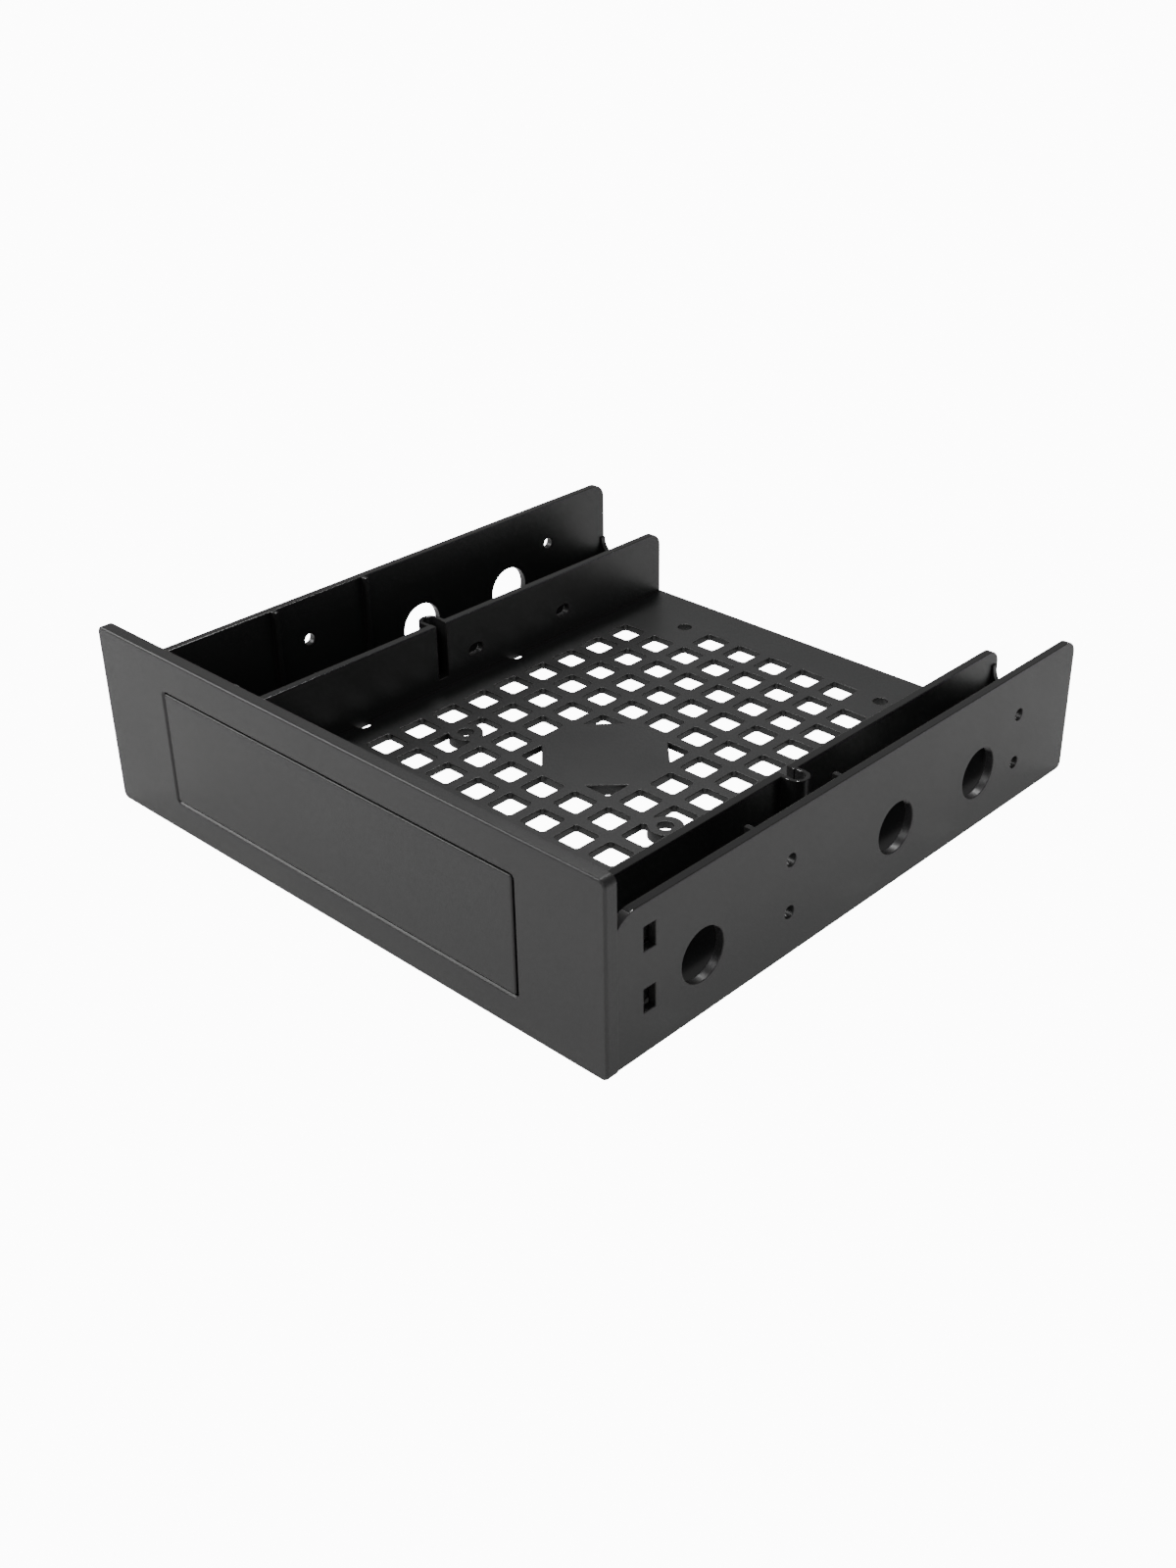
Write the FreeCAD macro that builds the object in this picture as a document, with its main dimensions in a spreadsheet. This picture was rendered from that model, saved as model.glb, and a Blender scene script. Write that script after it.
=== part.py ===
import FreeCAD, Part
import math
import os
import Sketcher

# A drive bay adapter: a moulded tray that fills a 5.25 inch bay and carries a 3.5 or 2.5 inch
# drive between two inner walls, on a floor that is a lattice of square cells, with a bezel
# clipped on in front and a cover that pulls out of the bezel.
# X runs left to right, Y from the bezel to the rear, Z up.
# Sizes are in millimetres. Depths are measured from the bezel's front face.

SIZES = (
    ("tray_width", 146.0, "tray, over the outer walls"),
    ("tray_depth", 151.0, "floor and inner walls, behind the bezel"),
    ("wall_inset", 1.0, "outer walls end this far before the floor"),
    ("wall_height", 32.5, "outer walls"),
    ("wall_thick", 2.0, "outer walls"),
    ("wall_front_corner", 6.0, "radius of an outer wall's front top corner"),
    ("wall_rear_corner", 3.5, "radius of an outer wall's rear top corner"),
    ("wall_foot_corner", 1.5, "radius of an outer wall's lower corners"),
    ("bay_width", 103.0, "clear width between the inner walls"),
    ("inner_height", 23.5, "top of the inner walls"),
    ("inner_thick", 2.0, "inner walls"),
    ("inner_corner", 3.5, "radius of an inner wall's rear top corner"),
    ("floor_top", 7.0, "top of the raised floor"),
    ("floor_thick", 1.1, "raised floor"),
    ("side_rim", 4.6, "whole floor beside the lattice, at least"),
    ("rear_rim", 8.8, "whole floor behind the lattice, at least"),
    ("pitch", 10.0, "lattice, cell to cell"),
    ("cell", 6.9, "side of a cell"),
    ("cell_corner", 0.5, "cut across a cell's corner, along either side"),
    ("first_row", 48.2, "depth of the first row of cells"),
    ("short_row", 5, "cells in the last row"),
    ("pad_row", 3, "the pad's centre is this many rows behind the first"),
    ("pad_reach", 16.0, "pad, from its centre to a flat side"),
    ("pad_slope", 20.3, "pad, from its centre along X and then Y to a slanted side"),
    ("skirt_thick", 1.2, "wall under the pad's edge"),
    ("skirt_drop", 1.5, "that wall and the bosses reach this far below the floor"),
    ("drive_hole_width", 61.72, "2.5 inch drive's screw holes, across"),
    ("drive_hole_length", 76.6, "2.5 inch drive's screw holes, front to rear"),
    ("drive_hole_rear", 13.4, "rear pair of them, from the floor's rear edge"),
    ("drive_hole", 3.5, "diameter of those holes"),
    ("boss", 8.0, "diameter of the boss round such a hole"),
    ("screw_head", 5.8, "diameter of the boss's hollow, for the screw's head"),
    ("foot_hole", 3.8, "diameter of the holes at the inner walls' feet"),
    ("foot_hole_depth", 50.6, "depth of the first foot hole"),
    ("foot_hole_step", 49.1, "first foot hole to the second"),
    ("slot_length", 4.5, "side screw slot, front to rear"),
    ("slot_height", 2.9, "side screw slot"),
    ("slot_rise", 6.35, "side screw slot's centre above the floor"),
    ("slot_depth", 27.0, "depth of the first side slot"),
    ("slot_step", 60.0, "first slot to the second"),
    ("slot_last", 30.0, "second slot to the third"),
    ("access", 11.7, "diameter of the driver holes in the outer walls"),
    ("bay_hole", 2.8, "diameter of the bay's screw holes"),
    ("bay_hole_low", 10.0, "height of the lower row of them"),
    ("bay_hole_rise", 11.84, "lower row to upper row"),
    ("bay_hole_depth", 52.4, "depth of the front pair"),
    ("bay_hole_step", 79.25, "front pair to rear pair"),
    ("window_depth", 11.0, "front edge of the windows for the bezel's hooks"),
    ("window_length", 3.2, "such a window, front to rear"),
    ("window_height", 5.2, "such a window"),
    ("window_low", 11.6, "centre height of the lower window"),
    ("window_rise", 13.3, "lower window to upper window"),
    ("notch_depth", 76.3, "depth of the notch in the inner walls"),
    ("notch_width", 3.0, "notch"),
    ("notch_sill", 2.3, "bottom of the notch above the floor"),
    ("tube_radius", 2.7, "outer radius of the half tube behind the notch"),
    ("tube_wall", 1.0, "half tube"),
    ("tube_reach", 2.0, "centre of the half tube's round, from the inner wall"),
    ("rib_depth", 42.7, "depth of the first rib inside an outer wall"),
    ("rib_step", 26.6, "first rib to the second"),
    ("rib_thick", 1.2, "such a rib, front to rear"),
    ("rib_reach", 1.6, "such a rib, out of the wall"),
    ("web_thick", 1.6, "web across a channel's rear end"),
    ("web_height", 13.2, "middle of that web"),
    ("web_inner_round", 6.3, "radius of the web's rise to the inner wall"),
    ("web_outer_round", 3.8, "radius of the web's rise to the outer wall"),
    ("web_edge", 0.5, "flat at the top of either rise"),
    ("bezel_height", 42.2, "bezel"),
    ("bezel_thick", 3.0, "bezel"),
    ("bezel_lift", 0.4, "bezel's lower edge above the tray's underside"),
    ("bezel_overhang", 1.3, "bezel beyond an outer wall"),
    ("bezel_corner", 1.6, "radius of the bezel's corners"),
    ("bezel_edge", 0.6, "radius of the bezel's front edges"),
    ("opening_height", 26.2, "opening in the bezel"),
    ("opening_sill", 1.0, "opening's lower edge above the floor"),
    ("opening_margin", 0.5, "opening beyond an inner wall's face"),
    ("opening_corner", 0.8, "radius of the opening's corners"),
    ("opening_bevel", 0.5, "bevel round the opening"),
    ("hook_thick", 1.6, "arm of a bezel hook"),
    ("hook_tip", 1.5, "arm beyond its window"),
    ("hook_height", 4.2, "hook"),
    ("hook_barb", 0.9, "barb beyond the wall's inner face"),
    ("hook_gap", 0.2, "hook to the tray"),
    ("cover_gap", 0.35, "cover to the bezel, all round"),
    ("cover_thick", 2.4, "cover"),
    ("cover_edge", 0.4, "radius of the cover's front edges"),
    ("leg_length", 7.0, "cover's spring legs, behind the cover"),
    ("leg_thick", 1.2, "spring leg"),
    ("leg_width", 8.0, "spring leg"),
    ("leg_inset", 0.9, "spring leg, in from the cover's edge"),
    ("leg_spacing", 70.0, "left legs to right legs"),
)

doc = FreeCAD.newDocument("drive_bay_adapter")
sheet = doc.addObject("Spreadsheet::Sheet", "size")
for row, (name, value, meaning) in enumerate(SIZES, start=1):
    sheet.set("A%d" % row, meaning)
    sheet.set("B%d" % row, str(value))
    sheet.setAlias("B%d" % row, name)
doc.recompute()

# Places that several features share, worked out from the sheet
BACK = "size.bezel_thick"
REAR = "(size.bezel_thick + size.tray_depth)"
WALL_REAR = "(size.bezel_thick + size.tray_depth - size.wall_inset)"
WALL_FACE = "(size.tray_width / 2 - size.wall_thick)"
BAY_FACE = "(size.bay_width / 2)"
INNER_BACK = "(size.bay_width / 2 + size.inner_thick)"
UNDERSIDE = "(size.floor_top - size.floor_thick)"
SLOT_HEIGHT = "(size.floor_top + size.slot_rise)"
SLOT_DEPTHS = (
    "size.slot_depth",
    "(size.slot_depth + size.slot_step)",
    "(size.slot_depth + size.slot_step + size.slot_last)",
)
WINDOW_HEIGHTS = ("size.window_low", "(size.window_low + size.window_rise)")


def body(name):
    """A body whose own Y = 0 is the bezel's front face, placed so that the part is centred."""
    made = doc.addObject("PartDesign::Body", name)
    made.Label = name
    made.setExpression("Placement.Base.y", "-%s / 2" % REAR)
    return made


def sketch_on(owner, name, role, offset="0"):
    """An empty sketch parallel to an origin plane of its body."""
    sketch = owner.newObject("Sketcher::SketchObject", name)
    plane = next(part for part in owner.Origin.OriginFeatures if part.Role == role)
    sketch.AttachmentSupport = [(plane, "")]
    sketch.MapMode = "FlatFace"
    sketch.setExpression("AttachmentOffset.Base.z", offset)
    doc.recompute()
    return sketch


def pin(sketch, kind, geometry, point, size):
    """One dimension of a sketch, bound to the sheet."""
    place = (geometry,) if point is None else (geometry, point)
    constraint = Sketcher.Constraint(kind, *place, sketch.evalExpression(size))
    index = sketch.addConstraint(constraint)
    sketch.setExpression("Constraints[%d]" % index, size)


def outline(sketch, corners):
    """A closed outline through corners (x, y) or (x, y, radius)."""
    count = len(corners)
    places = [FreeCAD.Vector(*map(sketch.evalExpression, corner[:2])) for corner in corners]
    heading = [(places[(i + 1) % count] - places[i]).normalize() for i in range(count)]
    arrive, leave, arcs = [], [], {}
    for i, corner in enumerate(corners):
        radius = sketch.evalExpression(corner[2]) if len(corner) > 2 else 0
        before, after = heading[i - 1], heading[i]
        turn = before.cross(after).z
        reach = radius * math.tan(math.acos(before.dot(after)) / 2) if radius else 0
        arrive.append(places[i] - before * reach)
        leave.append(places[i] + after * reach)
        if radius:
            side = FreeCAD.Vector(-before.y, before.x) * math.copysign(radius, turn)
            arcs[i] = (arrive[i] + side, radius, turn)
    lines = []
    for i in range(count):
        line = Part.LineSegment(leave[i], arrive[(i + 1) % count])
        lines.append(sketch.addGeometry(line))
    level = [corners[i][1] == corners[(i + 1) % count][1] for i in range(count)]
    upright = [corners[i][0] == corners[(i + 1) % count][0] for i in range(count)]
    for i in range(count):
        if level[i]:
            sketch.addConstraint(Sketcher.Constraint("Horizontal", lines[i]))
            pin(sketch, "DistanceY", lines[i], 1, corners[i][1])
        if upright[i]:
            sketch.addConstraint(Sketcher.Constraint("Vertical", lines[i]))
            pin(sketch, "DistanceX", lines[i], 1, corners[i][0])
        if i in arcs:
            centre, radius, turn = arcs[i]
            ends = (arrive[i], leave[i]) if turn > 0 else (leave[i], arrive[i])
            start, stop = (math.atan2(end.y - centre.y, end.x - centre.x) for end in ends)
            whole = Part.Circle(centre, FreeCAD.Vector(0, 0, 1), radius)
            arc = sketch.addGeometry(Part.ArcOfCircle(whole, start, stop))
            first, last = (1, 2) if turn > 0 else (2, 1)
            sketch.addConstraint(Sketcher.Constraint("Tangent", lines[i - 1], 2, arc, first))
            sketch.addConstraint(Sketcher.Constraint("Tangent", arc, last, lines[i], 1))
            pin(sketch, "Radius", arc, None, corners[i][2])
            continue
        sketch.addConstraint(Sketcher.Constraint("Coincident", lines[i - 1], 2, lines[i], 1))
        if not (upright[i - 1] or upright[i]):
            pin(sketch, "DistanceX", lines[i], 1, corners[i][0])
        if not (level[i - 1] or level[i]):
            pin(sketch, "DistanceY", lines[i], 1, corners[i][1])


def rectangle(sketch, left, bottom, right, top, radius=None):
    """A rectangle with sides at the given places, its corners rounded on request."""
    rounded = (radius,) if radius else ()
    corners = ((left, bottom), (right, bottom), (right, top), (left, top))
    outline(sketch, [corner + rounded for corner in corners])


def circle(sketch, across, up, diameter):
    """A circle about a place."""
    centre = FreeCAD.Vector(sketch.evalExpression(across), sketch.evalExpression(up))
    radius = sketch.evalExpression(diameter) / 2
    round_edge = sketch.addGeometry(Part.Circle(centre, FreeCAD.Vector(0, 0, 1), radius))
    pin(sketch, "DistanceX", round_edge, 3, across)
    pin(sketch, "DistanceY", round_edge, 3, up)
    pin(sketch, "Diameter", round_edge, None, diameter)


def slot(sketch, across, up, length, height):
    """A slot with round ends, its length along the sketch's first axis."""
    x, y = sketch.evalExpression(across), sketch.evalExpression(up)
    radius = sketch.evalExpression(height) / 2
    reach = sketch.evalExpression(length) / 2 - radius
    normal = FreeCAD.Vector(0, 0, 1)
    near = Part.Circle(FreeCAD.Vector(x - reach, y), normal, radius)
    far = Part.Circle(FreeCAD.Vector(x + reach, y), normal, radius)
    low = Part.LineSegment(FreeCAD.Vector(x - reach, y - radius), FreeCAD.Vector(x + reach, y - radius))
    high = Part.LineSegment(FreeCAD.Vector(x + reach, y + radius), FreeCAD.Vector(x - reach, y + radius))
    quarter = math.pi / 2
    low = sketch.addGeometry(low)
    far = sketch.addGeometry(Part.ArcOfCircle(far, -quarter, quarter))
    high = sketch.addGeometry(high)
    near = sketch.addGeometry(Part.ArcOfCircle(near, quarter, 3 * quarter))
    ring = (low, far, high, near)
    for one, following in zip(ring, ring[1:] + ring[:1]):
        sketch.addConstraint(Sketcher.Constraint("Tangent", one, 2, following, 1))
    sketch.addConstraint(Sketcher.Constraint("Horizontal", low))
    sketch.addConstraint(Sketcher.Constraint("Horizontal", high))
    pin(sketch, "Radius", far, None, "%s / 2" % height)
    pin(sketch, "DistanceX", near, 3, "%s - (%s - %s) / 2" % (across, length, height))
    pin(sketch, "DistanceX", far, 3, "%s + (%s - %s) / 2" % (across, length, height))
    pin(sketch, "DistanceY", far, 3, up)


def trough(sketch, start, across, up, radius):
    """A straight trough from a line at start to a round end about a place."""
    x, y, size = map(sketch.evalExpression, (across, up, radius))
    left = sketch.evalExpression(start)
    low = Part.LineSegment(FreeCAD.Vector(left, y - size), FreeCAD.Vector(x, y - size))
    high = Part.LineSegment(FreeCAD.Vector(x, y + size), FreeCAD.Vector(left, y + size))
    shut = Part.LineSegment(FreeCAD.Vector(left, y + size), FreeCAD.Vector(left, y - size))
    whole = Part.Circle(FreeCAD.Vector(x, y), FreeCAD.Vector(0, 0, 1), size)
    low, high, shut = map(sketch.addGeometry, (low, high, shut))
    end = sketch.addGeometry(Part.ArcOfCircle(whole, -math.pi / 2, math.pi / 2))
    sketch.addConstraint(Sketcher.Constraint("Tangent", low, 2, end, 1))
    sketch.addConstraint(Sketcher.Constraint("Tangent", end, 2, high, 1))
    sketch.addConstraint(Sketcher.Constraint("Coincident", high, 2, shut, 1))
    sketch.addConstraint(Sketcher.Constraint("Coincident", shut, 2, low, 1))
    sketch.addConstraint(Sketcher.Constraint("Horizontal", low))
    sketch.addConstraint(Sketcher.Constraint("Horizontal", high))
    sketch.addConstraint(Sketcher.Constraint("Vertical", shut))
    pin(sketch, "DistanceX", shut, 1, start)
    pin(sketch, "DistanceX", end, 3, across)
    pin(sketch, "DistanceY", end, 3, up)
    pin(sketch, "Radius", end, None, radius)


def pad(owner, name, sketch, length, backwards=False):
    """Material from a sketch, along its normal or against it."""
    made = owner.newObject("PartDesign::Pad", name)
    made.Profile = sketch
    made.Refine = False
    made.Reversed = backwards
    made.setExpression("Length", length)
    doc.recompute()
    return made


def pocket(owner, name, sketch, depth, refine=False):
    """A cut from a sketch, against its normal. It has to take material away."""
    before = owner.Shape.Volume
    made = owner.newObject("PartDesign::Pocket", name)
    made.Profile = sketch
    made.Refine = refine
    made.setExpression("Length", depth)
    doc.recompute()
    if owner.Shape.Volume >= before:
        raise RuntimeError("%s cuts nothing" % name)
    return made


def axis(owner, role):
    """An origin axis or plane of a body, as patterns want it."""
    return (next(part for part in owner.Origin.OriginFeatures if part.Role == role), [""])


def pattern(owner, name, feature, runs):
    """Copies of a feature along one or two origin axes: runs holds (axis, count, spacing)."""
    made = owner.newObject("PartDesign::MultiTransform", name)
    made.Originals = [feature]
    made.Refine = False
    steps = []
    for role, count, spacing in runs:
        step = owner.newObject("PartDesign::LinearPattern", "%s_%s" % (name, role[0].lower()))
        step.Direction = axis(owner, role)
        step.Mode = "Spacing"
        step.setExpression("Occurrences", count)
        step.setExpression("Offset", spacing)
        steps.append(step)
    made.Transformations = steps
    owner.Tip = made
    doc.recompute()
    return made


def mirror(owner, name, features):
    """The same features on the left."""
    made = owner.newObject("PartDesign::Mirrored", name)
    made.Originals = features
    made.MirrorPlane = axis(owner, "YZ_Plane")
    owner.Tip = made
    doc.recompute()
    return made


LATTICE_SIDE = "(%s - size.side_rim)" % BAY_FACE
LATTICE_REAR = "(%s - size.rear_rim)" % REAR


def raised_floor(tray):
    """One plate from wall to wall, which the inner walls stand on."""
    plate = sketch_on(tray, "floor_outline", "XY_Plane", UNDERSIDE)
    corners = [
        ("-" + WALL_FACE, BACK),
        (WALL_FACE, BACK),
        (WALL_FACE, WALL_REAR),
        (INNER_BACK, WALL_REAR),
        (INNER_BACK, REAR),
        ("-" + INNER_BACK, REAR),
        ("-" + INNER_BACK, WALL_REAR),
        ("-" + WALL_FACE, WALL_REAR),
    ]
    outline(plate, corners)
    pad(tray, "floor", plate, "size.floor_thick")
    feet = sketch_on(tray, "foot_hole_circles", "XY_Plane", "size.floor_top")
    for foot in (BAY_FACE, "-" + BAY_FACE):
        for depth in ("size.foot_hole_depth", "size.foot_hole_depth + size.foot_hole_step"):
            circle(feet, foot, depth, "size.foot_hole")
    pocket(tray, "foot_holes", feet, "size.floor_thick")


PAD_CENTRE = "(size.first_row + size.pitch * size.pad_row)"


def octagon(sketch, reach, slope):
    """The pad's outline, with eight straight sides."""
    flat = "(%s - %s)" % (slope, reach)
    quarter = ((reach, flat), (flat, reach))
    right = [(x, "-" + y) for x, y in reversed(quarter)] + list(quarter)
    left = [("-" + x, y) for x, y in reversed(right)]
    outline(sketch, [(x, "%s + %s" % (PAD_CENTRE, y)) for x, y in right + left])


def supports(tray):
    """Under the floor: the wall beneath the pad's edge, and the lower ends of the bosses."""
    drawn = sketch_on(tray, "skirt_and_boss_outlines", "XY_Plane", UNDERSIDE)
    octagon(drawn, "size.pad_reach", "size.pad_slope")
    # A slanted wall of the same thickness moves by the thickness times the root of two
    inner_slope = "(size.pad_slope - size.skirt_thick * sqrt(2))"
    octagon(drawn, "(size.pad_reach - size.skirt_thick)", inner_slope)
    at_drive_holes(drawn, "size.boss")
    at_drive_holes(drawn, "size.screw_head")
    pad(tray, "pad_skirt_and_boss_ends", drawn, "size.skirt_drop", backwards=True)


def at_drive_holes(sketch, diameter):
    """A circle at each of the four screw places of a 2.5 inch drive."""
    rear_pair = "%s - size.drive_hole_rear" % REAR
    front_pair = "%s - size.drive_hole_length" % rear_pair
    for side in ("size.drive_hole_width / 2", "-size.drive_hole_width / 2"):
        for depth in (front_pair, rear_pair):
            circle(sketch, side, depth, diameter)


def cell_row(tray, name, centre_x, centre_y, runs):
    """A cell of the lattice and its copies."""
    half = "size.cell / 2"
    left, right = ("%s %s %s" % (centre_x, sign, half) for sign in "-+")
    near, far = ("%s %s %s" % (centre_y, sign, half) for sign in "-+")
    drawn = sketch_on(tray, name + "_outline", "XY_Plane", "size.floor_top")
    after, before = "%s + size.cell_corner", "%s - size.cell_corner"
    corners = [
        (after % left, near), (before % right, near),
        (right, after % near), (right, before % far),
        (before % right, far), (after % left, far),
        (left, before % far), (left, after % near),
    ]
    outline(drawn, corners)
    cut = pocket(tray, name, drawn, "size.floor_thick")
    pattern(tray, name + "_pattern", cut, runs)


def lattice(tray):
    """The floor's square cells, then what stands among them: the pad and the screw bosses."""
    # Whole columns either side of the middle one, and whole rows, as far as the rims let them
    side_cells = "floor((%s - size.cell / 2) / size.pitch)" % LATTICE_SIDE
    full_rows = "floor((%s - size.cell / 2 - size.first_row) / size.pitch)" % LATTICE_REAR
    across = ("X_Axis", "size.short_row", "size.pitch")
    row_left = "(-size.pitch * (size.short_row - 1) / 2)"
    last_row = "(size.first_row + size.pitch * %s)" % full_rows
    cell_row(tray, "last_row_cut", row_left, last_row, (across,))
    across = ("X_Axis", "2 * %s + 1" % side_cells, "size.pitch")
    deep = ("Y_Axis", full_rows, "size.pitch")
    grid_left = "(-size.pitch * %s)" % side_cells
    cell_row(tray, "cell_cut", grid_left, "size.first_row", (across, deep))

    solid = sketch_on(tray, "pad_and_boss_outlines", "XY_Plane", "size.floor_top")
    octagon(solid, "size.pad_reach", "size.pad_slope")
    at_drive_holes(solid, "size.boss")
    pad(tray, "pad_and_bosses", solid, "size.floor_thick", backwards=True)
    holes = sketch_on(tray, "drive_hole_circles", "XY_Plane", "size.floor_top")
    at_drive_holes(holes, "size.drive_hole")
    pocket(tray, "drive_holes", holes, "size.floor_thick", refine=True)


def inner_wall(tray):
    """The right inner wall with its screw slots, and the half tube behind its notch."""
    side = sketch_on(tray, "inner_wall_outline", "YZ_Plane", BAY_FACE)
    top = "size.inner_height"
    outline(side, [(BACK, UNDERSIDE), (REAR, UNDERSIDE), (REAR, top, "size.inner_corner"), (BACK, top)])
    for depth in SLOT_DEPTHS:
        slot(side, depth, SLOT_HEIGHT, "size.slot_length", "size.slot_height")
    wall = pad(tray, "inner_wall", side, "size.inner_thick")

    round_centre = "%s + size.tube_reach" % INNER_BACK
    drawn = sketch_on(tray, "tube_outline", "XY_Plane", top)
    trough(drawn, INNER_BACK, round_centre, "size.notch_depth", "size.tube_radius")
    tube = pad(tray, "half_tube", drawn, "(%s - %s)" % (top, UNDERSIDE), backwards=True)
    drawn = sketch_on(tray, "bore_outline", "XY_Plane", top)
    bore_radius = "(size.tube_radius - size.tube_wall)"
    trough(drawn, INNER_BACK, round_centre, "size.notch_depth", bore_radius)
    notch_drop = "%s - size.floor_top - size.notch_sill" % top
    bore = pocket(tray, "tube_bore", drawn, notch_drop)
    gap = sketch_on(tray, "notch_outline", "XY_Plane", top)
    half = "size.notch_width / 2"
    rectangle(gap, BAY_FACE, "size.notch_depth - " + half, INNER_BACK, "size.notch_depth + " + half)
    notch = pocket(tray, "notch", gap, notch_drop)
    return [wall, tube, bore, notch]


def side_channel(tray):
    """The right outer wall with its ribs, and the web at the rear end of the channel."""
    side = sketch_on(tray, "outer_wall_outline", "YZ_Plane", WALL_FACE)
    top = "size.wall_height"
    corners = [
        (BACK, "0"),
        (WALL_REAR, "0", "size.wall_foot_corner"),
        (WALL_REAR, top, "size.wall_rear_corner"),
        (BACK, top, "size.wall_front_corner"),
    ]
    outline(side, corners)
    for depth in SLOT_DEPTHS:
        circle(side, depth, SLOT_HEIGHT, "size.access")
    for depth in ("size.bay_hole_depth", "size.bay_hole_depth + size.bay_hole_step"):
        for height in ("size.bay_hole_low", "size.bay_hole_low + size.bay_hole_rise"):
            circle(side, depth, height, "size.bay_hole")
    window_end = "size.window_depth + size.window_length"
    for height in WINDOW_HEIGHTS:
        low = "%s - size.window_height / 2" % height
        high = "%s + size.window_height / 2" % height
        rectangle(side, "size.window_depth", low, window_end, high)
    wall = pad(tray, "outer_wall", side, "size.wall_thick")

    stiff = sketch_on(tray, "rib_outlines", "XY_Plane", UNDERSIDE)
    for depth in ("size.rib_depth", "(size.rib_depth + size.rib_step)"):
        near, far = ("%s %s size.rib_thick / 2" % (depth, sign) for sign in "-+")
        rectangle(stiff, WALL_FACE + " - size.rib_reach", near, WALL_FACE, far)
    ribs = pad(tray, "wall_ribs", stiff, "(%s - %s)" % (top, UNDERSIDE))

    # The web's upper edge sweeps up in a hollow round to each wall
    rear = sketch_on(tray, "web_outline", "XZ_Plane", "-" + WALL_REAR)
    inner_top = "size.web_height + size.web_inner_round + size.web_edge"
    outer_top = "size.web_height + size.web_outer_round + size.web_edge"
    corners = [
        (INNER_BACK, UNDERSIDE),
        (WALL_FACE, UNDERSIDE),
        (WALL_FACE, outer_top),
        (WALL_FACE + " - size.web_edge", outer_top),
        (WALL_FACE + " - size.web_edge", "size.web_height", "size.web_outer_round"),
        (INNER_BACK + " + size.web_edge", "size.web_height", "size.web_inner_round"),
        (INNER_BACK + " + size.web_edge", inner_top),
        (INNER_BACK, inner_top),
    ]
    outline(rear, corners)
    web = pad(tray, "rear_web", rear, "size.web_thick")
    return [wall, ribs, web]


def make_tray():
    """The moulded tray, its two sides alike."""
    tray = body("tray")
    raised_floor(tray)
    mirror(tray, "left_side", inner_wall(tray) + side_channel(tray))
    supports(tray)
    lattice(tray)
    return tray


def front_edges(feature, wanted):
    """Names of the edges in the front face's plane whose ends all pass a test."""
    names = []
    for number, edge in enumerate(feature.Shape.Edges, start=1):
        ends = [vertex.Point for vertex in edge.Vertexes]
        if all(abs(end.y) < 1e-6 and wanted(end) for end in ends):
            names.append("Edge%d" % number)
    return names


def dress(owner, kind, name, base, edges, property_name, size):
    """A fillet or chamfer along named edges of a feature."""
    made = owner.newObject("PartDesign::" + kind, name)
    made.Base = (base, edges)
    made.setExpression(property_name, size)
    doc.recompute()
    return made


OPENING_LOW = "(size.floor_top + size.opening_sill)"
OPENING_HIGH = "(size.floor_top + size.opening_sill + size.opening_height)"
OPENING_SIDE = "(size.bay_width / 2 + size.opening_margin)"


def make_bezel():
    """The bezel, its opening and the four hooks that hold it in the tray's windows."""
    bezel = body("front_bezel")
    front = sketch_on(bezel, "bezel_outline", "XZ_Plane")
    side = "(size.tray_width / 2 + size.bezel_overhang)"
    top = "size.bezel_lift + size.bezel_height"
    rectangle(front, "-" + side, "size.bezel_lift", side, top, "size.bezel_corner")
    rectangle(front, "-" + OPENING_SIDE, OPENING_LOW, OPENING_SIDE, OPENING_HIGH, "size.opening_corner")
    plate = pad(bezel, "bezel_plate", front, "size.bezel_thick", backwards=True)
    half, low, high = map(bezel.evalExpression, (OPENING_SIDE, OPENING_LOW, OPENING_HIGH))

    def in_opening(end):
        return abs(end.x) < half + 1e-6 and low - 1e-6 < end.z < high + 1e-6

    edges = front_edges(plate, lambda end: not in_opening(end))
    rounded = dress(bezel, "Fillet", "bezel_rounding", plate, edges, "Radius", "size.bezel_edge")
    edges = front_edges(rounded, in_opening)
    dress(bezel, "Chamfer", "opening_bevel_cut", rounded, edges, "Size", "size.opening_bevel")

    # Arm along the wall's inner face, and a barb that catches the window's front edge
    face = "(%s - size.hook_gap)" % WALL_FACE
    back = "(%s - size.hook_thick)" % face
    tip = "size.window_depth + size.window_length + size.hook_tip"
    catch = "size.window_depth + size.hook_gap"
    ramp_end = "size.window_depth + size.window_length - size.hook_gap"
    crest = "(%s + size.hook_barb)" % WALL_FACE
    hooks = []
    for place, height in zip(("low", "high"), WINDOW_HEIGHTS):
        base = "%s - size.hook_height / 2" % height
        drawn = sketch_on(bezel, place + "_hook_outline", "XY_Plane", base)
        arm = [(face, ramp_end), (face, tip), (back, tip), (back, BACK), (face, BACK)]
        outline(drawn, arm + [(face, catch), (crest, catch)])
        hooks.append(pad(bezel, place + "_hook", drawn, "size.hook_height"))
    mirror(bezel, "left_hooks", hooks)
    return bezel


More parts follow.
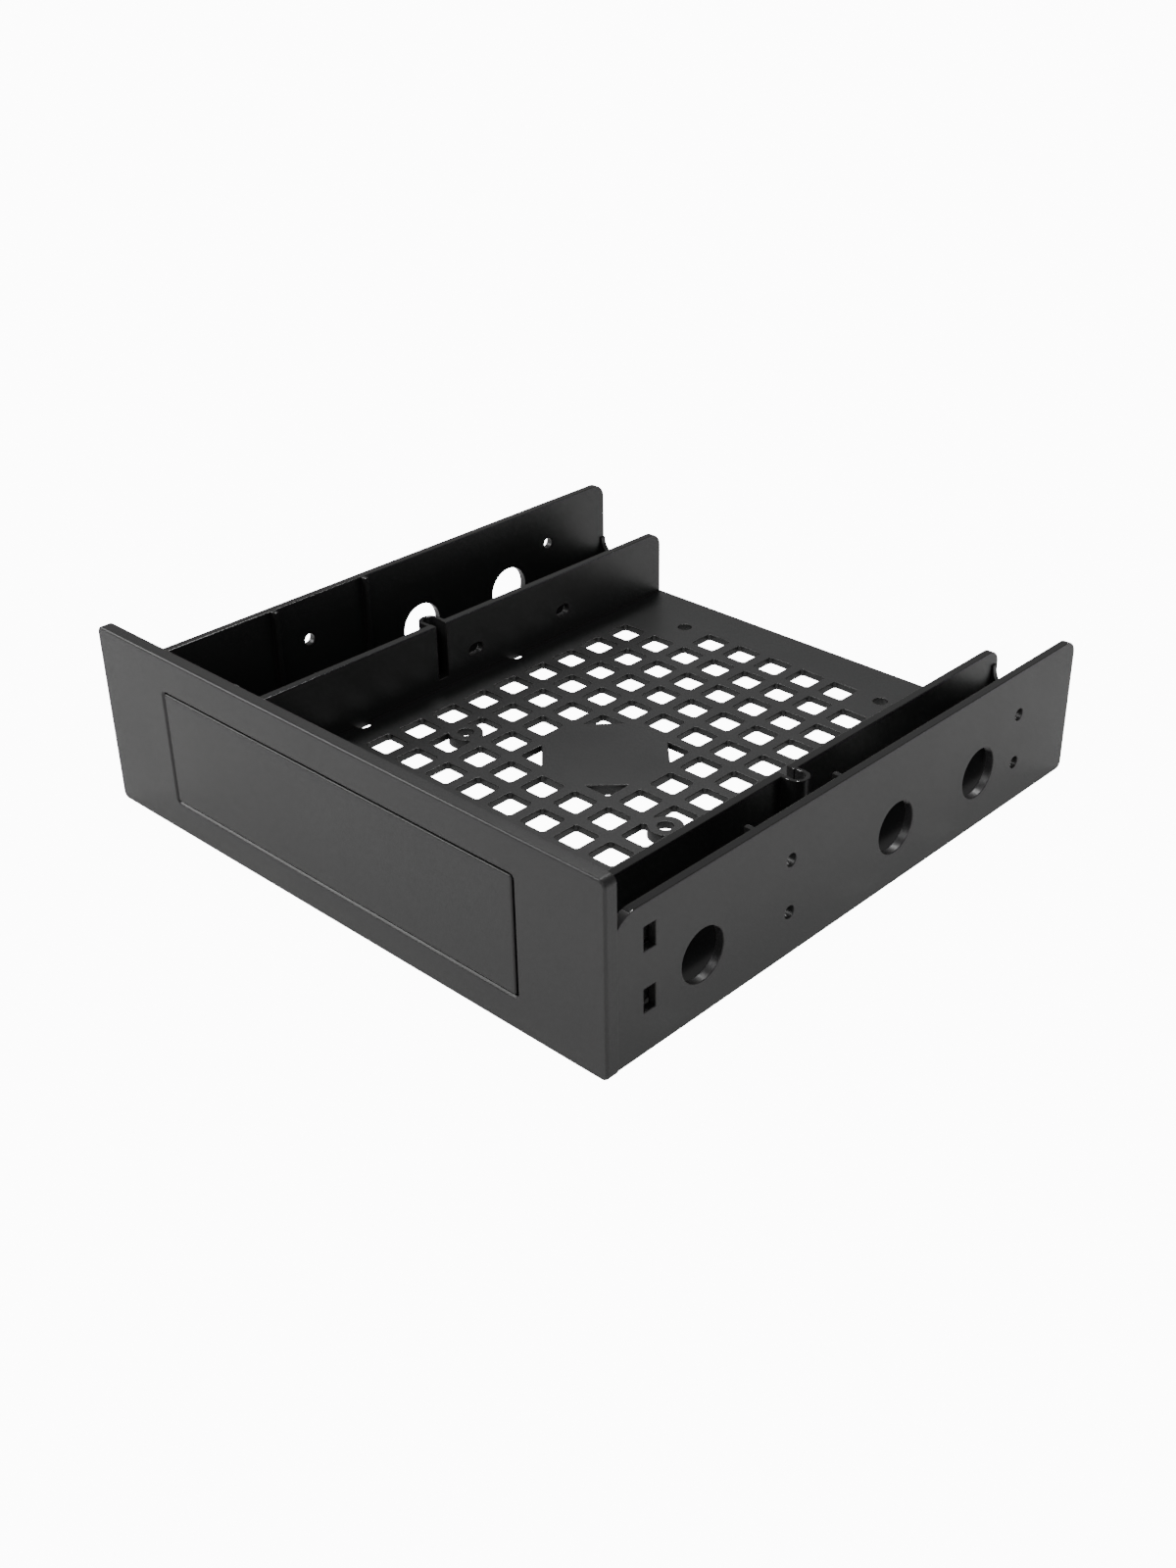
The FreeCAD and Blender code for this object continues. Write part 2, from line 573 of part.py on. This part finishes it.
def make_cover():
    """The cover that fills the opening, with two spring legs above and two below."""
    cover = body("bay_cover")
    front = sketch_on(cover, "cover_outline", "XZ_Plane")
    side = "(%s - size.cover_gap)" % OPENING_SIDE
    low, high = "(%s + size.cover_gap)" % OPENING_LOW, "(%s - size.cover_gap)" % OPENING_HIGH
    rectangle(front, "-" + side, low, side, high, "size.opening_corner - size.cover_gap")
    panel = pad(cover, "cover_panel", front, "size.cover_thick", backwards=True)
    edges = front_edges(panel, lambda end: True)
    dress(cover, "Fillet", "cover_rounding", panel, edges, "Radius", "size.cover_edge")

    # A leg's barb stands as far out as the cover's edge, so that it clears the opening
    tip = "size.cover_thick + size.leg_length"
    catch = "size.bezel_thick + size.cover_gap"
    start = "(size.leg_spacing - size.leg_width) / 2"
    legs = []
    for place, edge, inward in (("upper", high, "-"), ("lower", low, "+")):
        outer = "%s %s size.leg_inset" % (edge, inward)
        inner = "%s %s size.leg_thick" % (outer, inward)
        drawn = sketch_on(cover, place + "_leg_outline", "YZ_Plane", start)
        leg = [("size.cover_thick", inner), (tip, inner), (tip, outer), (catch, edge)]
        outline(drawn, leg + [(catch, outer), ("size.cover_thick", outer)])
        legs.append(pad(cover, place + "_leg", drawn, "size.leg_width"))
    mirror(cover, "left_legs", legs)
    return cover


parts = [make_tray(), make_bezel(), make_cover()]

for item in doc.Objects:
    if "Invalid" in item.State or "Error" in item.State:
        raise RuntimeError("%s failed: %s" % (item.Name, item.State))
for part in parts:
    if part.Shape.isNull() or not part.Shape.isValid() or len(part.Shape.Solids) != 1:
        raise RuntimeError("%s has no sound shape" % part.Label)

os.makedirs("parts", exist_ok=True)
for part in parts:
    box = part.Shape.BoundBox
    print(part.Label, round(part.Shape.Volume, 1), box)
    part.Shape.exportStep("parts/%s.step" % part.Label)
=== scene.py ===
import math

import bmesh
import bpy
from mathutils import Matrix, Vector


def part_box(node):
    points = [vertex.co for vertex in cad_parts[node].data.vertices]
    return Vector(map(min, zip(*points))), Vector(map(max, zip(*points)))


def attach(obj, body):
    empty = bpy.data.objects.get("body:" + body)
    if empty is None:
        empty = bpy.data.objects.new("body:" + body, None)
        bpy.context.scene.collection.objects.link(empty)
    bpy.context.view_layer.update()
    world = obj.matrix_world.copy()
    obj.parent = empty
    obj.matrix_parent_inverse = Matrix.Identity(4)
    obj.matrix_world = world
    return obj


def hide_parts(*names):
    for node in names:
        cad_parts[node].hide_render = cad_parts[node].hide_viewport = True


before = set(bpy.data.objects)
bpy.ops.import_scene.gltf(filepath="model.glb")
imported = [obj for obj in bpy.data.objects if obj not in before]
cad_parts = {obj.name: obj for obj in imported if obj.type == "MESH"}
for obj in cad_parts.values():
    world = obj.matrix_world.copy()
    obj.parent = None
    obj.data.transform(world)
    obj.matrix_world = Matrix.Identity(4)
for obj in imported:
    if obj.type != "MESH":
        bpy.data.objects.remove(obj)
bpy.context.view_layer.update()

MM = 0.001

# The tray: one black moulding in fine-grained ABS that carries the drive. Two outer walls fit
# the bay, two lower walls hold the drive, and a lattice floor lets air through. Its outer
# edges are broken by a few tenths of a millimetre, as they leave the mould.
TRAY_EDGE, EDGE_STEPS = 0.2 * MM, 2
SAME_PLACE, FLAT = 0.01 * MM, math.radians(0.4)
SHARP = math.radians(28)


def round_edges(shape, lines, radius, steps):
    """Some edges of a shape, rounded in a number of steps."""
    bmesh.ops.bevel(shape, geom=lines, offset=radius, offset_type="OFFSET", affect="EDGES",
                    segments=steps, profile=0.5, material=-1)


def finished_piece(name, shape):
    """An object from a shape, shaded smooth except across its sharp edges."""
    mesh = bpy.data.meshes.new(name)
    shape.to_mesh(mesh)
    shape.free()
    mesh.shade_smooth()
    mesh.set_sharp_from_angle(angle=SHARP)
    piece = bpy.data.objects.new(name, mesh)
    bpy.context.collection.objects.link(piece)
    piece.modifiers.new("Weighted normals", "WEIGHTED_NORMAL").keep_sharp = True
    return piece


def moulded_copy(node, radius, change=None):
    """A piece from a node's own mesh, changed on request, then with its outer edges rounded."""
    shape = bmesh.new()
    shape.from_mesh(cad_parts[node].data)
    bmesh.ops.remove_doubles(shape, verts=shape.verts, dist=SAME_PLACE)
    bmesh.ops.dissolve_limit(shape, angle_limit=FLAT, verts=shape.verts, edges=shape.edges)
    if change:
        change(shape)
    outer = [line for line in shape.edges
             if line.is_manifold and line.is_convex and line.calc_face_angle() > SHARP]
    round_edges(shape, outer, radius, EDGE_STEPS)
    return finished_piece(node + "_moulding", shape)


# The bars between the cells are as deep as the white that shows past them says. The floor
# beside the inner walls stays thin, so its small holes show white too.
UNDER_FLOOR, BARS_DEEPER = 5.9 * MM, 0.65 * MM
LATTICE_REACH = 45 * MM


def deepen_bars(shape):
    """The lattice's underside moved down."""
    for corner in shape.verts:
        under = abs(corner.co.z - UNDER_FLOOR) < 2 * SAME_PLACE
        if under and abs(corner.co.x) < LATTICE_REACH:
            corner.co.z -= BARS_DEEPER


class Value:
    """A shader socket that adds Math nodes when it is used in an expression."""

    def __init__(self, tree, socket):
        self.tree, self.socket = tree, socket

    def node(self, kind, settings=(), **inputs):
        """A node of a type, with its settings made first, then its sockets set or linked.

        A socket is given by its name, or by i and its number where names are shared.
        """
        made = self.tree.nodes.new(kind)
        for name, setting in dict(settings).items():
            setattr(made, name, setting)
        for name, given in inputs.items():
            key = int(name[1:]) if name[1:].isdigit() else name.replace("_", " ")
            if isinstance(given, Value):
                self.tree.links.new(given.socket, made.inputs[key])
            else:
                made.inputs[key].default_value = given
        return made

    def out(self, made, name=0):
        return Value(self.tree, made.outputs[name])

    def maths(self, operation, *values):
        inputs = {"i%d" % place: value for place, value in enumerate(values)}
        return self.out(self.node("ShaderNodeMath", {"operation": operation}, **inputs))

    def __add__(self, other):
        return self.maths("ADD", self, other)

    def __radd__(self, other):
        return self.maths("ADD", other, self)

    def __mul__(self, other):
        return self.maths("MULTIPLY", self, other)

    def __rmul__(self, other):
        return self.maths("MULTIPLY", other, self)

    def __sub__(self, other):
        return self.maths("SUBTRACT", self, other)

    def __rsub__(self, other):
        return self.maths("SUBTRACT", other, self)


def noise(place, size, detail):
    """Soft noise whose lumps are about a size across."""
    return place.out(place.node("ShaderNodeTexNoise", Vector=place, Scale=1 / size, Detail=detail))


BLOTCH_SIZE, FLECK_SIZE = 18 * MM, 1.1 * MM
BLOTCH_SHARE, GLOSS_SPREAD = 0.6, 0.1
PLASTIC_IOR = 1.53


def black_plastic(name, dark, light, roughness, grain_size, grain_depth, polish_and_shade_masks=None):
    """Moulded black plastic: an even colour, a fine grain, and a slightly uneven gloss.

    The last argument gives two masks: where the mould was polished, so that the grain is missing,
    and where painted shade darkens the colour.
    """
    material = bpy.data.materials.new(name)
    material.use_nodes = True
    tree = material.node_tree
    tree.nodes.clear()
    coordinates = tree.nodes.new("ShaderNodeTexCoord").outputs
    place, normal = Value(tree, coordinates["Object"]), Value(tree, coordinates["Normal"])
    blotches = noise(place, BLOTCH_SIZE, 3.0)
    flecks = noise(place, FLECK_SIZE, 2.0)
    grain = noise(place, grain_size, 2.0)
    shade = BLOTCH_SHARE * blotches + (1 - BLOTCH_SHARE) * flecks
    gloss = roughness - GLOSS_SPREAD / 2 + GLOSS_SPREAD * blotches
    if polish_and_shade_masks:
        polished, painted_shade_mask = polish_and_shade_masks(place, normal)
        # Painted shade: where the second mask lies, the colour is pulled below the dark tone.
        shade = shade - PAINTED_SHADE_DEPTH * painted_shade_mask
        gloss = gloss - SMOOTHER * polished
        grain = grain * (1 - polished)
    colour = place.node("ShaderNodeMix", {"data_type": "RGBA", "clamp_factor": False},
                        i0=shade, i6=dark, i7=light)
    bump = place.node("ShaderNodeBump", Height=grain, Distance=grain_depth, Strength=1.0)
    shader = place.node("ShaderNodeBsdfPrincipled", Base_Color=place.out(colour, 2),
                        Roughness=gloss, IOR=PLASTIC_IOR, Normal=place.out(bump))
    output = tree.nodes.new("ShaderNodeOutputMaterial")
    tree.links.new(shader.outputs["BSDF"], output.inputs["Surface"])
    return material


# The mould is polished where it shapes the walls' top edges and the floors of the channels. Those
# floors also get painted shade in their colour, standing in for the shadow that fills the channels
# and shows through the driver holes.
WALL_TOP, INNER_WALL_TOP, EDGE_BAND = 32.5 * MM, 23.5 * MM, 0.22 * MM
CHANNEL_START, CHANNEL_FLOOR = 53.4 * MM, 7.2 * MM
LOOKS_UP = 0.8
# The second number is how deep the painted shade on the channel floors goes.
SMOOTHER, PAINTED_SHADE_DEPTH = 0.26, 1.6


def tray_polish_and_painted_shade(place, normal):
    """Two masks on the faces of the tray that look up: the polished ones, and the ones darkened
    with painted shade.
    """
    parts = place.node("ShaderNodeSeparateXYZ", Vector=place)
    across, rise = place.out(parts, "X"), place.out(parts, "Z")
    up = place.out(place.node("ShaderNodeSeparateXYZ", Vector=normal), "Z")
    tops = place.maths("COMPARE", rise, WALL_TOP, EDGE_BAND)
    tops = tops + place.maths("COMPARE", rise, INNER_WALL_TOP, EDGE_BAND)
    outside = place.maths("GREATER_THAN", place.maths("ABSOLUTE", across), CHANNEL_START)
    channels = outside * place.maths("LESS_THAN", rise, CHANNEL_FLOOR)
    upward = place.maths("GREATER_THAN", up, LOOKS_UP)
    return (tops + channels) * upward, channels * upward


tray = moulded_copy("tray", TRAY_EDGE, deepen_bars)
tray_black = black_plastic("tray_black", (0.011, 0.011, 0.0112, 1), (0.018, 0.018, 0.0183, 1),
                           0.38, 0.35 * MM, 0.01 * MM, tray_polish_and_painted_shade)
tray.data.materials.append(tray_black)
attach(tray, "shell")
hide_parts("tray")

# The bezel: a flat black frame, clipped to the front of the tray by four hooks that sit in
# the outer walls' windows. Its face has a finer, duller grain than the tray.
BEZEL_EDGE = 0.15 * MM
bezel = moulded_copy("front_bezel", BEZEL_EDGE)
bezel_black = black_plastic("bezel_black", (0.009, 0.009, 0.0092, 1), (0.015, 0.015, 0.0153, 1),
                            0.40, 0.3 * MM, 0.01 * MM)
bezel.data.materials.append(bezel_black)
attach(bezel, "shell")
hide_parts("front_bezel")

# The bay cover: a flat panel of the bezel's own plastic with rounded front edges. Four spring
# legs behind it hold it in its opening, and it is pulled out when a drive with its own front
# is fitted. It sits high in its opening, so the gap above it hardly shows.
COVER_THICK = 2.4 * MM
COVER_CORNER, CORNER_STEPS = 0.5 * MM, 4
COVER_ROUND, ROUND_STEPS = 0.45 * MM, 5
COVER_SITS_HIGH = 0.2 * MM
LEG_STARTS, LEG_WIDTH = 31.0 * MM, 8.0 * MM
LEG_INSET, LEG_THICK = 0.9 * MM, 1.2 * MM
LEG_ROOT, LEG_END, LEG_CATCH = COVER_THICK - 0.3 * MM, 9.4 * MM, 3.35 * MM
LEG_EDGE = 0.12 * MM
cover_low, cover_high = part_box("bay_cover")
cover_front = cover_low.y


def cover_panel(shape):
    """The flat panel, with its corners and then its front edges rounded."""
    high = cover_high.copy()
    high.y = cover_front + COVER_THICK
    high.z += COVER_SITS_HIGH
    size, middle = high - cover_low, (high + cover_low) / 2
    place = Matrix.Translation(middle) @ Matrix.Diagonal((size.x, size.y, size.z, 1))
    bmesh.ops.create_cube(shape, size=1, matrix=place)
    corners = [line for line in shape.edges
               if abs(line.verts[0].co.y - line.verts[1].co.y) > COVER_THICK / 2]
    round_edges(shape, corners, COVER_CORNER, CORNER_STEPS)
    rim = [line for line in shape.edges
           if all(abs(end.co.y - cover_front) < SAME_PLACE for end in line.verts)]
    round_edges(shape, rim, COVER_ROUND, ROUND_STEPS)


def spring_leg(shape, start, edge, inward):
    """A leg behind the panel, with a barb that leans out to the panel's edge."""
    outer = edge + inward * LEG_INSET
    inner = outer + inward * LEG_THICK
    side = [(LEG_ROOT, inner), (LEG_END, inner), (LEG_END, outer), (LEG_CATCH, edge),
            (LEG_CATCH, outer), (LEG_ROOT, outer)]
    corners = [shape.verts.new((start, cover_front + depth, rise)) for depth, rise in side]
    made = bmesh.ops.extrude_face_region(shape, geom=[shape.faces.new(corners)])
    moved = [item for item in made["geom"] if isinstance(item, bmesh.types.BMVert)]
    bmesh.ops.translate(shape, verts=moved, vec=(LEG_WIDTH, 0, 0))
    ends = set(corners + moved)
    faces = [face for face in shape.faces if ends.issuperset(face.verts)]
    lines = [line for line in shape.edges if ends.issuperset(line.verts)]
    bmesh.ops.recalc_face_normals(shape, faces=faces)
    round_edges(shape, lines, LEG_EDGE, EDGE_STEPS)


moulding = bmesh.new()
cover_panel(moulding)
for leg_start in (-LEG_STARTS - LEG_WIDTH, LEG_STARTS):
    spring_leg(moulding, leg_start, cover_high.z, -1)
    spring_leg(moulding, leg_start, cover_low.z, 1)
cover = finished_piece("bay_cover_moulding", moulding)
cover.data.materials.append(bezel_black)
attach(cover, "cover")
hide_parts("bay_cover")

# The setting: a white table that runs on far behind, lit from below through its top, as a
# product is photographed for a shop. The white room round it is there for the camera only,
# burnt out to the pure white of such a picture, and throws no light on the object.
TABLE_SIZE, TABLE_DROP, TABLE_WHITE, TABLE_GLOW = 6.0, 0.4 * MM, 0.6, 0.5
ROOM_SIZE, ROOM_DROP, ROOM_GLOW = 40.0, 0.05 * MM, 12.0
SKY_GLOW = 0.3


def stage_piece(name, shape, white, glow):
    """A piece of the setting, of a white that also glows."""
    mesh = bpy.data.meshes.new(name)
    shape.to_mesh(mesh)
    shape.free()
    piece = bpy.data.objects.new(name, mesh)
    bpy.context.collection.objects.link(piece)
    material = bpy.data.materials.new(name)
    material.use_nodes = True
    sockets = material.node_tree.nodes["Principled BSDF"].inputs
    sockets["Base Color"].default_value = (white, white, white, 1)
    sockets["Roughness"].default_value = 0.9
    sockets["Emission Color"].default_value = (1, 1, 1, 1)
    sockets["Emission Strength"].default_value = glow
    mesh.materials.append(material)
    return piece


table_top = bmesh.new()
bmesh.ops.create_grid(table_top, x_segments=1, y_segments=1, size=TABLE_SIZE / 2,
                      matrix=Matrix.Translation((0, 0, -TABLE_DROP)))
stage_piece("table", table_top, TABLE_WHITE, TABLE_GLOW)
walls = bmesh.new()
bmesh.ops.create_cube(walls, size=ROOM_SIZE,
                      matrix=Matrix.Translation((0, 0, ROOM_SIZE / 2 - ROOM_DROP)))
room = stage_piece("white_room", walls, 0.0, ROOM_GLOW)
room.visible_diffuse = False
room.visible_glossy = False
room.visible_shadow = False

world = bpy.data.worlds.new("studio")
world.use_nodes = True
sky = world.node_tree.nodes["Background"].inputs
sky["Color"].default_value = (1, 1, 1, 1)
sky["Strength"].default_value = SKY_GLOW
bpy.context.scene.world = world


def softbox(name, place, aim, size, power):
    """A soft square light at a place, turned to a point."""
    lamp = bpy.data.lights.new(name, "AREA")
    lamp.shape = "SQUARE"
    lamp.size = size
    lamp.energy = power
    light = bpy.data.objects.new(name, lamp)
    light.location = place
    light.rotation_euler = (Vector(aim) - Vector(place)).to_track_quat("-Z", "Y").to_euler()
    bpy.context.collection.objects.link(light)


# The key light stands high behind the left rear corner, so the left inner wall throws a
# narrow shadow on the floor beside it. The fill light brightens the edges that look up and
# forward, the table light the white in front of the bezel's left end, which the face mirrors,
# and the last one stands behind the camera.
MIDDLE, TABLE_PATCH = (0, 0, 0.02), (-0.4, -0.25, 0)
softbox("key_light", (-0.49, 0.57, 1.32), MIDDLE, 0.3, 9)
softbox("fill_light", (-0.9, -0.75, 0.9), MIDDLE, 0.6, 8)
softbox("table_light", (-0.5, -0.3, 0.3), TABLE_PATCH, 0.3, 1)
softbox("camera_light", (0.8, -1.3, 1.2), MIDDLE, 0.8, 4)

# The camera stands where the photograph's stood: worked out from the bay's standard sizes.
EYE = Vector((247.4, -257.1, 205.7)) * MM
AIM = Vector((28.6, -19.5, 22.4)) * MM
ROLL = math.radians(-0.22)
FOCAL_PIXELS = 1851.2
FRAME_WIDTH, FRAME_HEIGHT = 1200, 1600
CENTRE_X, CENTRE_Y = 649.6, 785.3
camera_data = bpy.data.cameras.new("camera")
camera_data.sensor_width = 36
camera_data.lens = FOCAL_PIXELS * camera_data.sensor_width / FRAME_HEIGHT
camera_data.shift_x = (FRAME_WIDTH / 2 - CENTRE_X) / FRAME_HEIGHT
camera_data.shift_y = (CENTRE_Y - FRAME_HEIGHT / 2) / FRAME_HEIGHT
camera_data.clip_start = 0.01
camera = bpy.data.objects.new("camera", camera_data)
facing = (AIM - EYE).to_track_quat("-Z", "Y").to_matrix().to_4x4()
camera.matrix_world = Matrix.Translation(EYE) @ facing @ Matrix.Rotation(ROLL, 4, "Z")
bpy.context.collection.objects.link(camera)
bpy.context.scene.camera = camera
